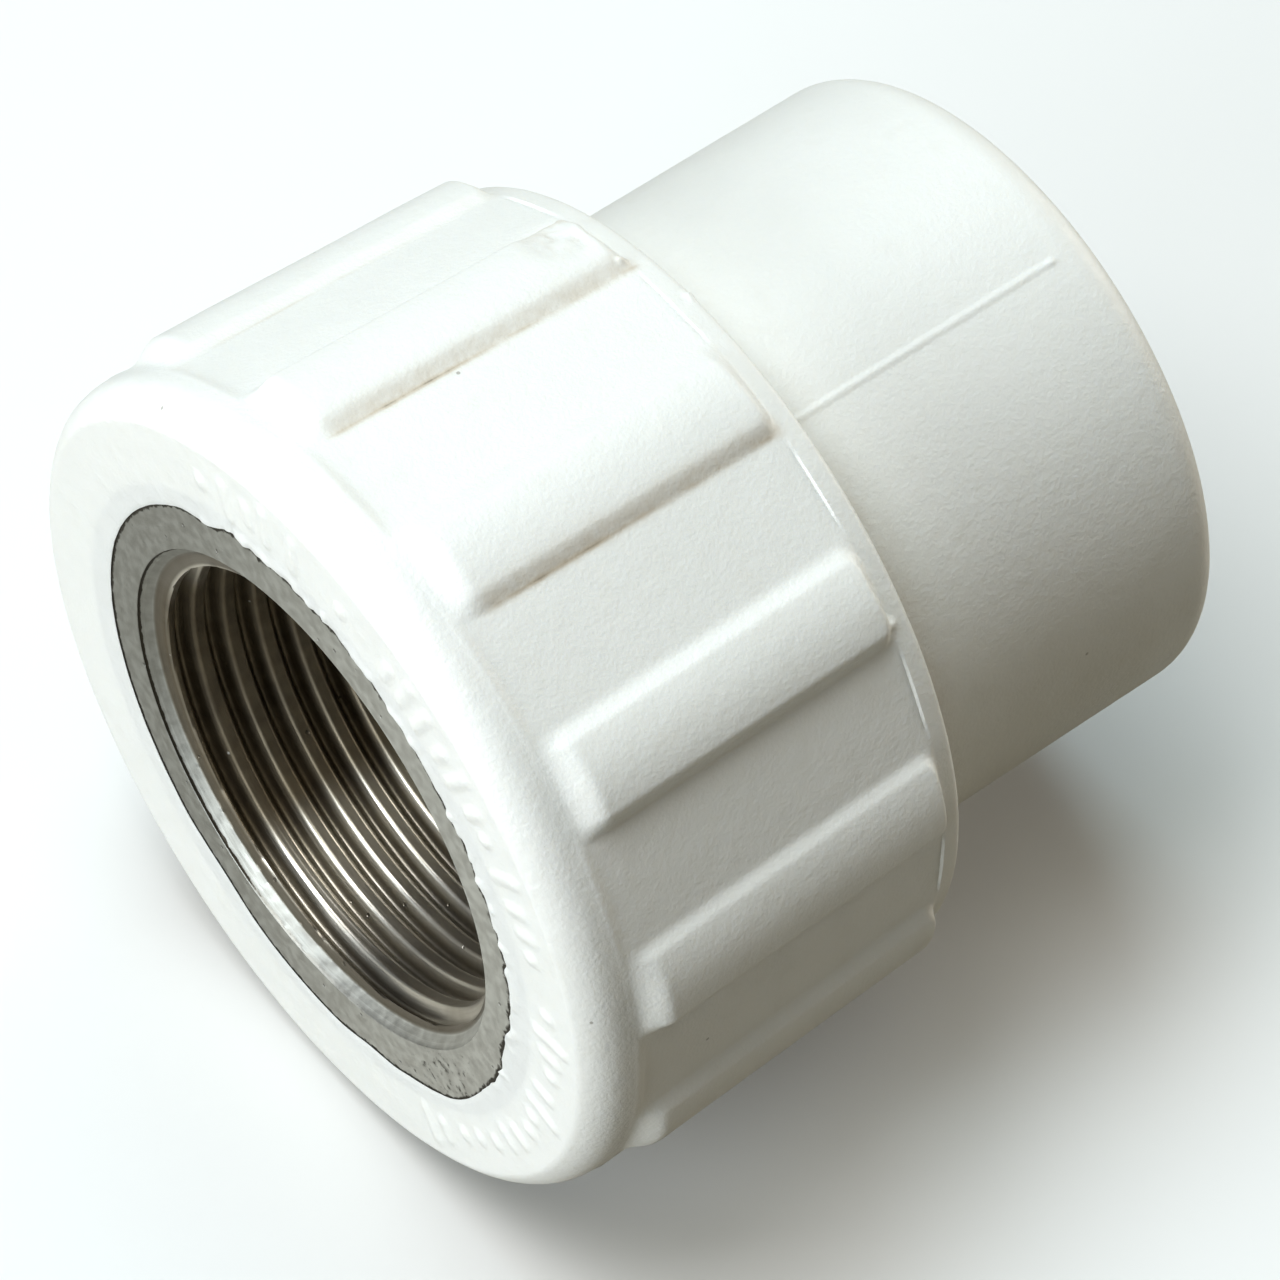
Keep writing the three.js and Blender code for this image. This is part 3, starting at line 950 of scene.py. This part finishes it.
def view_axes():
    """The view's right, up and backward directions."""
    azimuth, elevation, roll = (math.radians(a) for a in (VIEW_AZIMUTH, VIEW_ELEVATION, VIEW_ROLL))
    level = Vector((math.cos(azimuth), math.sin(azimuth), 0))
    back = Vector((math.sin(azimuth) * math.cos(elevation), -math.cos(azimuth) * math.cos(elevation),
                   math.sin(elevation)))
    rise = back.cross(level)
    right = level * math.cos(roll) + rise * math.sin(roll)
    return right, back.cross(right), back


def make_camera():
    right, up, back = view_axes()
    face_centre = Vector((FACE_X, 0, AXIS_Z))
    data = bpy.data.cameras.new("camera")
    data.sensor_width = 36
    data.lens = LENS
    data.clip_start = 0.01
    data.clip_end = 10
    camera = bpy.data.objects.new("camera", data)
    bpy.context.scene.collection.objects.link(camera)
    spot = face_centre + (right * FACE_LEFT + up * FACE_BELOW + back * VIEW_DISTANCE) * MM
    turn = Matrix((right, up, back)).transposed()
    camera.matrix_world = Matrix.Translation(spot) @ turn.to_4x4()
    bpy.context.scene.camera = camera


def make_lamp(name, direction, width, height, power, tint):
    """A rectangular soft light, LAMP_DISTANCE from the fitting and facing it."""
    data = bpy.data.lights.new(name, "AREA")
    data.shape = "RECTANGLE"
    data.size = width
    data.size_y = height
    data.energy = power
    data.color = tint
    lamp = bpy.data.objects.new(name, data)
    bpy.context.scene.collection.objects.link(lamp)
    away = Vector(direction).normalized()
    lamp.location = Vector((0, 0, AXIS_Z)) + away * LAMP_DISTANCE
    lamp.rotation_euler = away.to_track_quat("Z", "Y").to_euler()
    lamp.visible_camera = False


def make_world():
    """Pale to look at, and nearly dark as a light, so that the lamps alone shape the fitting."""
    world = bpy.data.worlds.new("studio")
    world.use_nodes = True
    nodes, links = world.node_tree.nodes, world.node_tree.links
    background = nodes["Background"]
    rays = nodes.new("ShaderNodeLightPath")
    mirrored = nodes.new("ShaderNodeMapRange")
    mirrored.inputs["To Min"].default_value = WORLD_LIGHT
    mirrored.inputs["To Max"].default_value = WORLD_MIRRORED
    strength = nodes.new("ShaderNodeMapRange")
    strength.inputs["To Max"].default_value = WORLD_SHOWN
    links.new(rays.outputs["Is Glossy Ray"], mirrored.inputs["Value"])
    links.new(rays.outputs["Is Camera Ray"], strength.inputs["Value"])
    links.new(mirrored.outputs["Result"], strength.inputs["To Min"])
    links.new(strength.outputs["Result"], background.inputs["Strength"])
    background.inputs["Color"].default_value = colour(0.97, 1.0, 0.99)
    bpy.context.scene.world = world


def make_floor(height):
    bpy.ops.mesh.primitive_plane_add(size=FLOOR_SIZE, location=(0, 0, height))
    floor = bpy.context.object
    floor.name = "floor"
    floor.data.materials.append(floor_material())


def set_camera_and_lamps():
    make_camera()
    make_world()
    for lamp in LAMPS:
        make_lamp(*lamp)
    bpy.context.scene.view_settings.view_transform = "Standard"


# ---------------------------------------------------------------------------------------------------
# Putting it together
# ---------------------------------------------------------------------------------------------------

def add_piece(piece, node):
    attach(piece, "root")
    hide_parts(node)


set_camera_and_lamps()
add_piece(make_body(white_polypropylene()), "moulded_body")
add_piece(make_insert(nickel_plated_brass()), "threaded_insert")

visual_low, visual_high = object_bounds()
make_floor(visual_low.z)
